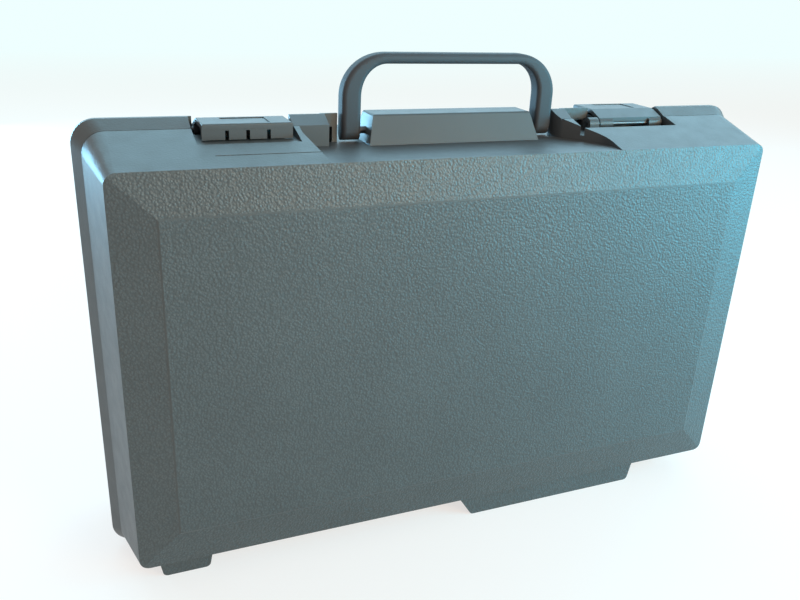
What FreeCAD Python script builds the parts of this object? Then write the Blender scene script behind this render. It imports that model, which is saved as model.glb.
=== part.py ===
import FreeCAD, Part
import os
import Sketcher

# A hard tool case, standing on its feet as it is carried: two moulded halves that close
# face to face, hinged along the bottom on two steel rods, with a bail handle and two
# snap latches along the top. X runs along the case, -Y is the front, +Z is up.
# The origin is on the table, under the middle of the case.

doc = FreeCAD.newDocument("tool_case")
sheet = doc.addObject("Spreadsheet::Sheet", "sizes")

# Driving sizes, in millimetres.
SIZES = {
    # Moulded half: the flat face, its raised panel and the drafted walls.
    "face_width": 400.0,
    "face_height": 228.0,
    "foot_height": 18.0,
    "face_depth": 52.0,
    "panel_inset": 22.3,
    "panel_proud": 4.5,
    "side_draft": 7.2,
    "end_draft": 11.7,
    "wall": 3.0,
    "face_corner": 6.0,
    "root_corner": 12.0,
    # Chamfers of the hollow's corners, at the parting plane and behind the face.
    "mouth_chamfer": 7.0,
    "hollow_chamfer": 3.5,
    # Rim flange where the halves meet.
    "flange_depth": 10.5,
    "flange_land": 1.5,
    "flange_flare": 4.5,
    "rim_corner": 13.0,
    "groove_width": 1.0,
    "groove_depth": 1.0,
    "parting_gap": 0.2,
    # Lip that lines the halves up, on one end of each half.
    "lip_thick": 2.0,
    "lip_reach": 2.0,
    "lip_length": 180.0,
    "lip_edge": 3.0,
    "lip_clearance": 0.3,
    # Hinge along the bottom.
    "hinge_height": 5.2,
    "rod_radius": 1.5,
    "rod_inner_end": 7.0,
    "rod_length": 177.0,
    "knuckle_radius": 4.6,
    "knuckle_width": 18.0,
    "knuckle_first": 20.0,
    "knuckle_second": 127.0,
    "knuckle_outer": 173.0,
    "hood_wall": 2.5,
    "rim_above_axis": 0.3,
    "turn_clearance": 0.4,
    "pin_clearance": 0.05,
    # Feet, one long and one short on each half.
    "foot_back": 29.5,
    "long_foot_front": 46.0,
    "long_foot_inner": 2.0,
    "long_foot_outer": 145.0,
    "long_foot_slant": 12.0,
    "short_foot_front": 40.0,
    "short_foot_end_gap": 10.0,
    "short_foot_length": 34.0,
    "foot_slant": 3.5,
    "foot_rounding": 3.0,
    # Recess that the handle folds into. Its sides draw in towards the parting plane.
    "recess_half": 90.0,
    "recess_bend_start": 36.0,
    "recess_neck_start": 7.0,
    "recess_shoulder_step": 5.5,
    "recess_shoulder_start": 19.0,
    "recess_shoulder_end": 47.0,
    "recess_rounding": 20.0,
    "flange_end_gap": 9.5,
    # Block between the handle's legs.
    "block_gap": 2.2,
    "block_end_draft": 4.0,
    "block_base": 14.0,
    "block_top_front": 7.0,
    "block_top_back": 10.0,
    "block_rounding": 1.5,
    # Handle.
    "handle_half": 68.5,
    "handle_leg": 11.3,
    "handle_deep": 11.0,
    "handle_bar": 6.0,
    "handle_reach": 43.0,
    "handle_pivot_up": 6.5,
    "handle_outer_bend": 24.0,
    "handle_inner_bend": 18.0,
    "handle_chamfer": 1.6,
    "handle_side_gap": 1.5,
    "handle_pin_radius": 2.0,
    "handle_pin_seat": 10.0,
    "handle_pin_cover": 1.5,
    # Latches: the swinging plate, its fingers and its knuckles.
    "latch_middle": 125.0,
    "latch_width": 48.0,
    "latch_thick": 2.6,
    "latch_lip": 20.0,
    "latch_down": 0.8,
    "latch_back_drop": 4.0,
    "latch_web_down": 0.2,
    "latch_skirt_in": 0.7,
    "latch_skirt_thick": 2.0,
    "latch_skirt_up": 0.6,
    "latch_slot_width": 2.0,
    "latch_slot_step": 11.0,
    "latch_slot_under": 1.0,
    "latch_heel": 1.5,
    "latch_rounding": 1.0,
    "latch_dish_length": 24.0,
    "latch_dish_width": 16.0,
    "latch_dish_depth": 0.5,
    "latch_dish_middle": 10.0,
    "latch_pivot_in": 8.5,
    "latch_pivot_down": 8.6,
    "latch_pin_radius": 1.5,
    "latch_knuckle_radius": 3.6,
    "latch_knuckle_width": 10.0,
    "latch_finger_width": 12.0,
    "latch_finger_thick": 2.2,
    "latch_finger_down": 5.8,
    # What the latches close on and turn in.
    "keeper_deep": 8.0,
    "keeper_down": 5.2,
    "keeper_length": 44.0,
    "catch_inner_gap": 2.5,
    "catch_outer_gap": 4.0,
    "catch_floor_down": 9.8,
    "catch_front_gap": 8.4,
    "pocket_inner_gap": 21.0,
    "pocket_outer_gap": 2.0,
    "pocket_floor_down": 12.8,
    "pocket_front_gap": 6.0,
    "lug_gap": 1.0,
    "lug_width": 7.0,
    "lug_radius": 4.0,
    "bearing_wall": 4.5,
    # Shallow line moulded across the top wall in front of each catch.
    "line_front": 40.0,
    "line_width": 0.7,
    "line_depth": 0.5,
    "line_inner": 88.0,
    "line_outer": 146.0,
    # How far a cutting shape runs past what it cuts.
    "overrun": 2.0,
}

for row, (alias, size) in enumerate(SIZES.items(), start=1):
    sheet.set(f"A{row}", str(size))
    sheet.setAlias(f"A{row}", alias)
doc.recompute()


def name_sizes(text):
    """Points each word of an expression at the cell of that name."""
    words = []
    for word in text.replace("(", " ( ").replace(")", " ) ").split():
        words.append("sizes." + word if word in SIZES else word)
    return " ".join(words).replace("sqrt (", "sqrt(")


def value(text):
    return sheet_reader.evalExpression(name_sizes(text))


def bind(thing, prop, text):
    thing.setExpression(prop, name_sizes(text))


sheet_reader = doc.addObject("Part::Box", "sheet_reader")

# Heights and reaches that several pieces share, worked out from the sizes above.
FACE_HALF = "( face_width / 2 )"
FACE_TOP = "( foot_height + face_height )"
ROOT_HALF = "( face_width / 2 + side_draft )"
ROOT_LOW = "( foot_height - end_draft )"
ROOT_TOP = "( foot_height + face_height + end_draft )"
RIM_HALF = "( face_width / 2 + side_draft + flange_flare )"
RIM_LOW = "( foot_height - end_draft - flange_flare )"
RIM_TOP = "( foot_height + face_height + end_draft + flange_flare )"
PANEL_FRONT = "( face_depth + panel_proud )"
LAND_END = "( parting_gap / 2 )"
ABOVE_CASE = "( foot_height + face_height + end_draft + flange_flare + overrun )"
HALF_FRONT = "( 0 - face_depth - panel_proud - overrun )"
GROOVE_FRONT = "( flange_depth + groove_width )"
HANDLE_PIVOT_UP = f"( {FACE_TOP} + handle_pivot_up )"
HANDLE_INNER = "( handle_half - handle_leg )"
BLOCK_HALF = f"( {HANDLE_INNER} - block_gap )"
PIN_END = "( handle_half - handle_pin_cover )"
RECESS_NECK = "( handle_half + handle_side_gap )"
FLANGE_END = "( handle_half + flange_end_gap )"
RECESS_SHOULDER = "( recess_half + recess_shoulder_step )"
SHORT_FOOT_OUTER = "( face_width / 2 - short_foot_end_gap )"
SHORT_FOOT_INNER = "( face_width / 2 - short_foot_end_gap - short_foot_length )"
LATCH_INNER = "( latch_middle - latch_width / 2 )"
LATCH_OUTER = "( latch_middle + latch_width / 2 )"
LATCH_PIVOT_UP = f"( {RIM_TOP} - latch_pivot_down )"
LATCH_TOP = f"( {RIM_TOP} - latch_down )"
CATCH_FRONT = "( latch_lip + catch_front_gap )"
CATCH_FLOOR = f"( {RIM_TOP} - catch_floor_down )"
CATCH_INNER = f"( {LATCH_INNER} - catch_inner_gap )"
CATCH_OUTER = f"( {LATCH_OUTER} + catch_outer_gap )"
POCKET_INNER = f"( {LATCH_INNER} - pocket_inner_gap )"
POCKET_OUTER = f"( {LATCH_OUTER} + pocket_outer_gap )"
LUG_OUTER = f"( {LATCH_INNER} - lug_gap )"
LUG_INNER = f"( {LUG_OUTER} - lug_width )"
# The latch's rear edge sweeps this far from the parting plane, so its pocket reaches past it.
POCKET_REACH = ("( latch_pivot_in + sqrt ( latch_pivot_down * latch_pivot_down + latch_heel * latch_heel )"
                " + turn_clearance + pocket_front_gap )")


def box(name, x_low, x_high, y_low, y_high, z_low, z_high):
    solid = doc.addObject("Part::Box", name)
    bind(solid, "Length", f"( {x_high} ) - ( {x_low} )")
    bind(solid, "Width", f"( {y_high} ) - ( {y_low} )")
    bind(solid, "Height", f"( {z_high} ) - ( {z_low} )")
    bind(solid, "Placement.Base.x", x_low)
    bind(solid, "Placement.Base.y", y_low)
    bind(solid, "Placement.Base.z", z_low)
    return solid


def round_bar(name, x_low, x_high, y, z, radius):
    """A cylinder that lies along X."""
    solid = doc.addObject("Part::Cylinder", name)
    solid.Placement = FreeCAD.Placement(FreeCAD.Vector(), FreeCAD.Rotation(FreeCAD.Vector(0, 1, 0), 90))
    bind(solid, "Radius", radius)
    bind(solid, "Height", f"( {x_high} ) - ( {x_low} )")
    bind(solid, "Placement.Base.x", x_low)
    bind(solid, "Placement.Base.y", y)
    bind(solid, "Placement.Base.z", z)
    return solid


def fuse(name, solids):
    joined = doc.addObject("Part::MultiFuse", name)
    joined.Shapes = solids
    joined.Refine = True
    return joined


def cut(name, base, tool):
    rest = doc.addObject("Part::Cut", name)
    rest.Base = base
    rest.Tool = tool
    rest.Refine = True
    return rest


def new_body(name):
    return doc.addObject("PartDesign::Body", name)


def new_sketch(body, name, role, offset):
    """A sketch on one of the body's own planes, moved along the plane's normal."""
    sketch = body.newObject("Sketcher::SketchObject", name)
    plane = next(item for item in body.Origin.OriginFeatures if item.Role == role)
    sketch.AttachmentSupport = [(plane, "")]
    sketch.MapMode = "FlatFace"
    bind(sketch, "AttachmentOffset.Base.z", offset)
    return sketch


def pin_point(sketch, edge, end, across, up):
    """Holds one end of an edge at a place given by two named lengths."""
    for kind, text, axis in (("DistanceX", across, -2), ("DistanceY", up, -1)):
        if text == "0":
            sketch.addConstraint(Sketcher.Constraint("PointOnObject", edge, end, axis))
            continue
        rule = sketch.addConstraint(Sketcher.Constraint(kind, -1, 1, edge, end, value(text)))
        label = f"{kind}_{edge}_{end}"
        sketch.renameConstraint(rule, label)
        bind(sketch, f"Constraints.{label}", text)


def polygon(body, name, role, offset, points):
    sketch = new_sketch(body, name, role, offset)
    places = [FreeCAD.Vector(value(across), value(up), 0) for across, up in points]
    count = len(points)
    for edge in range(count):
        sketch.addGeometry(Part.LineSegment(places[edge], places[(edge + 1) % count]))
    for edge in range(count):
        sketch.addConstraint(Sketcher.Constraint("Coincident", edge, 2, (edge + 1) % count, 1))
    for edge, (across, up) in enumerate(points):
        pin_point(sketch, edge, 1, across, up)
    return sketch


def rounded_frame(body, name, offset, half, low, high, corner):
    """A rectangle with round corners in the upright plane of the face."""
    sketch = new_sketch(body, name, "XZ_Plane", offset)
    sides = [
        ((f"{corner} - {half}", low), (f"{half} - {corner}", low)),
        ((half, f"{low} + {corner}"), (half, f"{high} - {corner}")),
        ((f"{half} - {corner}", high), (f"{corner} - {half}", high)),
        ((f"0 - {half}", f"{high} - {corner}"), (f"0 - {half}", f"{low} + {corner}")),
    ]
    centres = [
        (f"{half} - {corner}", f"{low} + {corner}", -90),
        (f"{half} - {corner}", f"{high} - {corner}", 0),
        (f"{corner} - {half}", f"{high} - {corner}", 90),
        (f"{corner} - {half}", f"{low} + {corner}", 180),
    ]
    for ends in sides:
        start, finish = [FreeCAD.Vector(value(across), value(up), 0) for across, up in ends]
        sketch.addGeometry(Part.LineSegment(start, finish))
    for across, up, turn in centres:
        middle = FreeCAD.Vector(value(across), value(up), 0)
        ring = Part.Circle(middle, FreeCAD.Vector(0, 0, 1), value(corner))
        start_angle = FreeCAD.Units.Quantity(f"{turn} deg").getValueAs("rad").Value
        end_angle = FreeCAD.Units.Quantity(f"{turn + 90} deg").getValueAs("rad").Value
        sketch.addGeometry(Part.ArcOfCircle(ring, start_angle, end_angle))
    for side in range(4):
        sketch.addConstraint(Sketcher.Constraint("Tangent", side, 2, side + 4, 1))
        sketch.addConstraint(Sketcher.Constraint("Coincident", side + 4, 2, (side + 1) % 4, 1))
        pin_point(sketch, side, 1, *sides[side][0])
        pin_point(sketch, side, 2, *sides[side][1])
    return sketch


def loft(body, name, sections):
    skin = body.newObject("PartDesign::AdditiveLoft", name)
    skin.Profile = sections[0]
    skin.Sections = sections[1:]
    skin.Ruled = True
    return skin


def pad(body, name, sketch, length, reverse=False):
    raised = body.newObject("PartDesign::Pad", name)
    raised.Profile = sketch
    bind(raised, "Length", length)
    raised.Reversed = reverse
    return raised


def pick_edges(base, wanted):
    doc.recompute()
    return [f"Edge{i + 1}" for i, edge in enumerate(base.Shape.Edges) if wanted(edge)]


def round_edges(body, name, base, radius, wanted):
    """Fillets the edges of the base feature that wanted picks."""
    fillet = body.newObject("PartDesign::Fillet", name)
    fillet.Base = (base, pick_edges(base, wanted))
    bind(fillet, "Radius", radius)
    return fillet


def chamfer_edges(body, name, base, size, wanted):
    """Chamfers the edges of the base feature that wanted picks."""
    chamfer = body.newObject("PartDesign::Chamfer", name)
    chamfer.Base = (base, pick_edges(base, wanted))
    bind(chamfer, "Size", size)
    return chamfer


def edge_runs(edge, axis):
    """True for a straight edge along the given unit vector."""
    return isinstance(edge.Curve, Part.Line) and abs(edge.Curve.Direction.dot(axis)) > ALONG_SHARE


# How much of an edge's direction has to lie along an axis.
ALONG_SHARE = 0.999
ALONG_Y = FreeCAD.Vector(0, 1, 0)
ALONG_Z = FreeCAD.Vector(0, 0, 1)


def chamfered_frame(body, name, offset, half, low, high, chamfer):
    """A rectangle with straight chamfers across its corners, in the upright plane of the face."""
    return polygon(body, name, "XZ_Plane", offset, [
        (f"{chamfer} - {half}", low),
        (f"{half} - {chamfer}", low),
        (half, f"{low} + {chamfer}"),
        (half, f"{high} - {chamfer}"),
        (f"{half} - {chamfer}", high),
        (f"{chamfer} - {half}", high),
        (f"0 - {half}", f"{high} - {chamfer}"),
        (f"0 - {half}", f"{low} + {chamfer}"),
    ])


# Outer form of a moulded half

def drafted_walls():
    """The four walls, run on as far as the raised panel. Their corners widen towards the rim."""
    body = new_body("drafted_walls")
    run_on = f"panel_proud / ( face_depth - {GROOVE_FRONT} )"
    front = rounded_frame(body, "wall_front", PANEL_FRONT,
                          f"( {FACE_HALF} - side_draft * {run_on} )",
                          f"( foot_height + end_draft * {run_on} )", f"( {FACE_TOP} - end_draft * {run_on} )",
                          f"( face_corner - ( root_corner - face_corner ) * {run_on} )")
    root = rounded_frame(body, "wall_root", GROOVE_FRONT, ROOT_HALF, ROOT_LOW, ROOT_TOP, "root_corner")
    loft(body, "walls", [front, root])
    return body


def panel_bevels():
    """Four planes that slope from the panel's edge through the face's edge and on, mitred at the corners."""
    body = new_body("panel_bevels")
    slopes = body.newObject("PartDesign::AdditiveWedge", "bevel_slopes")
    low, high = "( foot_height - panel_inset )", f"( {FACE_TOP} + panel_inset )"
    half = f"( {FACE_HALF} + panel_inset )"
    for prop, text in (
            ("Ymin", f"0 - {PANEL_FRONT}"), ("Ymax", "panel_proud - face_depth"),
            ("Xmin", f"panel_inset - {FACE_HALF}"), ("Xmax", f"{FACE_HALF} - panel_inset"),
            ("X2min", f"0 - {half}"), ("X2max", half),
            ("Zmin", "foot_height + panel_inset"), ("Zmax", f"{FACE_TOP} - panel_inset"),
            ("Z2min", low), ("Z2max", high)):
        bind(slopes, prop, text)
    back = box("bevel_back", f"0 - {half}", half, "panel_proud - face_depth", "0", low, high)
    return fuse("bevels", [body, back])


def rim_flange():
    """The flange where the halves meet, with a narrow groove between it and the walls."""
    body = new_body("rim_flange")
    ring = rounded_frame(body, "groove_ring", GROOVE_FRONT, f"( {ROOT_HALF} - groove_depth )",
                         f"( {ROOT_LOW} + groove_depth )", f"( {ROOT_TOP} - groove_depth )",
                         "( root_corner - groove_depth )")
    pad(body, "groove_floor", ring, "groove_width", reverse=True)
    flange_root = rounded_frame(body, "flange_root", "flange_depth",
                                ROOT_HALF, ROOT_LOW, ROOT_TOP, "root_corner")
    rim = rounded_frame(body, "rim_edge", "flange_land", RIM_HALF, RIM_LOW, RIM_TOP, "rim_corner")
    land = rounded_frame(body, "land_edge", LAND_END, RIM_HALF, RIM_LOW, RIM_TOP, "rim_corner")
    loft(body, "flange", [flange_root, rim, land])
    return body


def outer_form():
    walls = doc.addObject("Part::Common", "bevelled_walls")
    walls.Base = drafted_walls()
    walls.Tool = panel_bevels()
    return fuse("outer_form", [walls, rim_flange()])


# Hollow of a moulded half, before the tubs are left standing in it

def hollow_form():
    body = new_body("half_hollow")
    inset = "( panel_inset + wall / 2 )"
    floor = chamfered_frame(body, "panel_back", f"( {PANEL_FRONT} - wall )", f"( {FACE_HALF} - {inset} )",
                            f"( foot_height + {inset} )", f"( {FACE_TOP} - {inset} )", "hollow_chamfer")
    near = chamfered_frame(body, "face_back", "( face_depth - wall )", f"( {FACE_HALF} - wall )",
                           "( foot_height + wall )", f"( {FACE_TOP} - wall )", "hollow_chamfer")
    inner = (f"( {ROOT_HALF} - wall )", f"( {ROOT_LOW} + wall )", f"( {ROOT_TOP} - wall )", "mouth_chamfer")
    root = chamfered_frame(body, "root_back", "flange_depth", *inner)
    mouth = chamfered_frame(body, "mouth", "( 0 - overrun )", *inner)
    loft(body, "hollow", [floor, near, root, mouth])
    return body


# Recess for the handle, and the tub that walls it off from the inside

def recess_form(name, grow, floor):
    body = new_body(name)
    points = [
        (f"recess_half + {grow}", HALF_FRONT),
        (f"recess_half + {grow}", "0 - recess_bend_start"),
        (f"{RECESS_NECK} + {grow}", "0 - recess_neck_start"),
        (f"{RECESS_NECK} + {grow}", "recess_rounding"),
        (f"0 - {FLANGE_END} - {grow}", "recess_rounding"),
        (f"0 - {FLANGE_END} - {grow}", f"{grow} - flange_depth"),
        (f"0 - {RECESS_SHOULDER} - {grow}", f"{grow} - flange_depth"),
        (f"0 - {RECESS_SHOULDER} - {grow}", "0 - recess_shoulder_start"),
        (f"0 - recess_half - {grow}", "0 - recess_shoulder_end"),
        (f"0 - recess_half - {grow}", HALF_FRONT),
    ]
    sketch = polygon(body, name + "_outline", "XY_Plane", floor, points)
    raised = pad(body, name + "_pad", sketch, f"{ABOVE_CASE} - ( {floor} )")
    bends = [1, 2, 7, 8]
    corners = [FreeCAD.Vector(value(points[i][0]), value(points[i][1]), 0) for i in bends]

    def at_a_bend(edge):
        middle = edge.valueAt(edge.FirstParameter)
        flat = FreeCAD.Vector(middle.x, middle.y, 0)
        nearest = min(flat.distanceToPoint(corner) for corner in corners)
        return edge_runs(edge, ALONG_Z) and nearest < value("parting_gap")

    round_edges(body, name + "_bends", raised, "recess_rounding", at_a_bend)
    return body


def foot(name, left, right, left_slant, right_slant, front):
    """A foot under the drafted bottom wall, narrower where it stands."""
    body = new_body(name)
    points = [
        (f"{left} + {left_slant}", "0"),
        (f"{right} - {right_slant}", "0"),
        (right, "foot_height"),
        (left, "foot_height"),
    ]
    sketch = polygon(body, name + "_outline", "XZ_Plane", "foot_back", points)
    raised = pad(body, name + "_pad", sketch, f"{front} - foot_back")

    def at_the_table(edge):
        return edge_runs(edge, ALONG_Y) and abs(edge.CenterOfMass.z) < value("parting_gap")

    round_edges(body, name + "_ends", raised, "foot_rounding", at_the_table)
    return body


def knuckle_places():
    """Middles of one half's hinge knuckles; the other half's are their mirror images."""
    return ["( 0 - knuckle_outer )", "knuckle_first", "knuckle_second"]


def hinge_bars(name, places, half_width, radius):
    bars = []
    for number, place in enumerate(places, start=1):
        bars.append(round_bar(f"{name}_{number}", f"{place} - {half_width}", f"{place} + {half_width}",
                              "0", "hinge_height", radius))
    return fuse(name, bars)


def hinge_boxes(name, places, half_width, reach):
    """Square rooms about the hinge axis, open towards the other half."""
    rooms = []
    for number, place in enumerate(places, start=1):
        rooms.append(box(f"{name}_{number}", f"{place} - {half_width}", f"{place} + {half_width}",
                         f"0 - {reach}", "overrun", f"hinge_height - {reach}", f"hinge_height + {reach}"))
    return fuse(name, rooms)


# One moulded half, seen as the front one

def moulded_half():
    relief = box("hinge_relief", f"0 - {RIM_HALF} - overrun", f"{RIM_HALF} + overrun",
                 "0 - flange_depth", "overrun", f"{RIM_LOW} - overrun", "hinge_height + rim_above_axis")
    relieved = cut("half_relieved", outer_form(), relief)
    long_foot = foot("long_foot", "long_foot_inner", "long_foot_outer",
                     "long_foot_slant", "foot_slant", "long_foot_front")
    short_foot = foot("short_foot", f"0 - {SHORT_FOOT_OUTER}", f"0 - {SHORT_FOOT_INNER}",
                      "foot_slant", "foot_slant", "short_foot_front")
    footed = fuse("half_footed", [relieved, long_foot, short_foot])

    own_places = knuckle_places()
    other_places = [f"( 0 - {place} )" for place in own_places]
    notch_half = "( knuckle_width / 2 + turn_clearance )"
    notch_reach = "( knuckle_radius + turn_clearance )"
    hoods = hinge_boxes("knuckle_hoods", other_places, f"( {notch_half} + hood_wall )",
                        f"( {notch_reach} + hood_wall )")
    recess_tub = recess_form("recess_tub", "wall", f"{FACE_TOP} - wall")
    catch_tub = box("catch_tub", f"0 - {CATCH_OUTER} - wall", f"wall - {CATCH_INNER}",
                    f"0 - {CATCH_FRONT} - wall", "overrun", f"{CATCH_FLOOR} - wall", ABOVE_CASE)
    pocket_tub = box("pocket_tub", f"{POCKET_INNER} - wall", f"{POCKET_OUTER} + bearing_wall",
                     f"0 - {POCKET_REACH} - wall", "overrun",
                     f"{RIM_TOP} - pocket_floor_down - wall", ABOVE_CASE)
    tubs = fuse("tubs", [recess_tub, catch_tub, pocket_tub, hoods])
    hollow = cut("hollow_with_tubs", hollow_form(), tubs)
    shell = cut("half_hollowed", footed, hollow)

    notches = hinge_boxes("knuckle_notches", other_places, notch_half, notch_reach)
    channel_half = "( rod_inner_end + rod_length + overrun )"
    channel_reach = "( rod_radius + turn_clearance )"
    channel = box("rod_channel", f"0 - {channel_half}", channel_half, f"0 - {channel_reach}", "overrun",
                  f"hinge_height - {channel_reach}", f"hinge_height + {channel_reach}")
    recess = recess_form("recess", "0", FACE_TOP)
    catch = box("catch_pocket", f"0 - {CATCH_OUTER}", f"0 - {CATCH_INNER}", f"0 - {CATCH_FRONT}", "overrun",
                CATCH_FLOOR, ABOVE_CASE)
    line_top = ("( foot_height + face_height"
                " + end_draft * ( face_depth - line_front ) / ( face_depth - flange_depth ) )")
    line = box("top_line", "0 - line_outer", "0 - line_inner", "0 - line_front - line_width / 2",
               "line_width / 2 - line_front", f"{line_top} - line_depth", ABOVE_CASE)
    pocket = box("pivot_pocket", POCKET_INNER, POCKET_OUTER, f"0 - {POCKET_REACH}", "overrun",
                 f"{RIM_TOP} - pocket_floor_down", ABOVE_CASE)
    lip_front = f"( {RIM_HALF} - lip_edge + lip_clearance )"
    lip_back = f"( {RIM_HALF} - lip_edge - lip_thick - lip_clearance )"
    lip_low = f"( {FACE_TOP} / 2 - lip_length / 2 )"
    lip_high = f"( {FACE_TOP} / 2 + lip_length / 2 )"
    groove = box("lip_groove", lip_back, lip_front, "0 - lip_reach - lip_clearance", "overrun",
                 f"{lip_low} - lip_clearance", f"{lip_high} + lip_clearance")
    openings = fuse("half_openings", [notches, channel, recess, catch, pocket, groove, line])
    opened = cut("half_opened", shell, openings)

    knuckles = hinge_bars("knuckles", own_places, "knuckle_width / 2", "knuckle_radius")
    keeper = box("keeper", "0 - latch_middle - keeper_length / 2", "0 - latch_middle + keeper_length / 2",
                 "0 - keeper_deep", f"0 - {LAND_END}", f"{CATCH_FLOOR} - wall / 2",
                 f"{RIM_TOP} - keeper_down")
    lug_post = box("lug_post", LUG_INNER, LUG_OUTER, "0 - latch_pivot_in - lug_radius",
                   "0 - latch_pivot_in + lug_radius", f"{RIM_TOP} - pocket_floor_down - wall / 2",
                   LATCH_PIVOT_UP)
    lug_head = round_bar("lug_head", LUG_INNER, LUG_OUTER, "0 - latch_pivot_in", LATCH_PIVOT_UP, "lug_radius")
    lip = box("lip", "lip_edge - " + RIM_HALF, f"lip_edge + lip_thick - {RIM_HALF}",
              f"0 - {LAND_END} - lip_reach", f"lip_reach - {LAND_END}", lip_low, lip_high)
    built = fuse("half_built", [opened, knuckles, keeper, lug_post, lug_head, lip])

    rod_bore = round_bar("rod_bore", "0 - knuckle_outer - knuckle_width", "knuckle_outer + knuckle_width",
                         "0", "hinge_height", "rod_radius + pin_clearance")
    latch_bore = round_bar("latch_bore", f"{LUG_INNER} - pin_clearance",
                           f"{POCKET_OUTER} + bearing_wall - wall / 2",
                           "0 - latch_pivot_in", LATCH_PIVOT_UP, "latch_pin_radius + pin_clearance")
    bores = fuse("half_bores", [rod_bore, latch_bore])
    return cut("half_bored", built, bores)


def handle_block():
    """The block between the handle's legs, on the front half and over the back one's floor."""
    body = new_body("block_upper")
    upper = body.newObject("PartDesign::AdditiveWedge", "block_wedge")
    # The wedge rises along its own Y, so it is stood up, which turns its Z towards the front.
    upper.Placement = FreeCAD.Placement(FreeCAD.Vector(), FreeCAD.Rotation(FreeCAD.Vector(1, 0, 0), 90))
    for prop, text in (
            ("Ymin", FACE_TOP), ("Ymax", RIM_TOP),
            ("Xmin", f"0 - {BLOCK_HALF}"), ("Xmax", BLOCK_HALF),
            ("X2min", f"block_end_draft - {BLOCK_HALF}"), ("X2max", f"{BLOCK_HALF} - block_end_draft"),
            ("Zmin", "0 - block_base"), ("Zmax", "block_base"),
            ("Z2min", "0 - block_top_back"), ("Z2max", "block_top_front")):
        bind(upper, prop, text)

    def on_top(edge):
        return edge.CenterOfMass.z > value(f"{RIM_TOP} - parting_gap")

    round_edges(body, "block_top_edges", upper, "block_rounding", on_top)
    foot = box("block_foot", f"0 - {BLOCK_HALF}", BLOCK_HALF, "0 - block_base", f"0 - {LAND_END}",
               f"{FACE_TOP} - wall / 2", FACE_TOP)
    return fuse("handle_block", [body, foot])


def build_shells():
    half = moulded_half()
    # The front half carries the block.
    blocked = fuse("front_with_block", [half, handle_block()])
    bores = []
    for side, low, high in (("left", f"0 - {BLOCK_HALF} - overrun", f"handle_pin_seat - {BLOCK_HALF}"),
                            ("right", f"{BLOCK_HALF} - handle_pin_seat", f"{BLOCK_HALF} + overrun")):
        bores.append(round_bar(f"handle_bore_{side}", low, high, "0", HANDLE_PIVOT_UP,
                               "handle_pin_radius + pin_clearance"))
    front = cut("front_shell", blocked, fuse("handle_bores", bores))

    # The back half is the same moulding, turned half round, with a shallow seat under the block.
    seat = box("block_seat", f"0 - {BLOCK_HALF} - turn_clearance", f"{BLOCK_HALF} + turn_clearance",
               "0 - block_base - turn_clearance", "overrun", f"{FACE_TOP} - turn_clearance", ABOVE_CASE)
    back = cut("back_shell", half, seat)
    back.Placement = FreeCAD.Placement(FreeCAD.Vector(), FreeCAD.Rotation(ALONG_Z, 180))
    return [front, back]


def build_hinge_rods():
    right = round_bar("hinge_rod_right", "rod_inner_end", "rod_inner_end + rod_length",
                      "0", "hinge_height", "rod_radius")
    left = round_bar("hinge_rod_left", "0 - rod_inner_end - rod_length", "0 - rod_inner_end",
                     "0", "hinge_height", "rod_radius")
    return [left, right]


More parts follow.
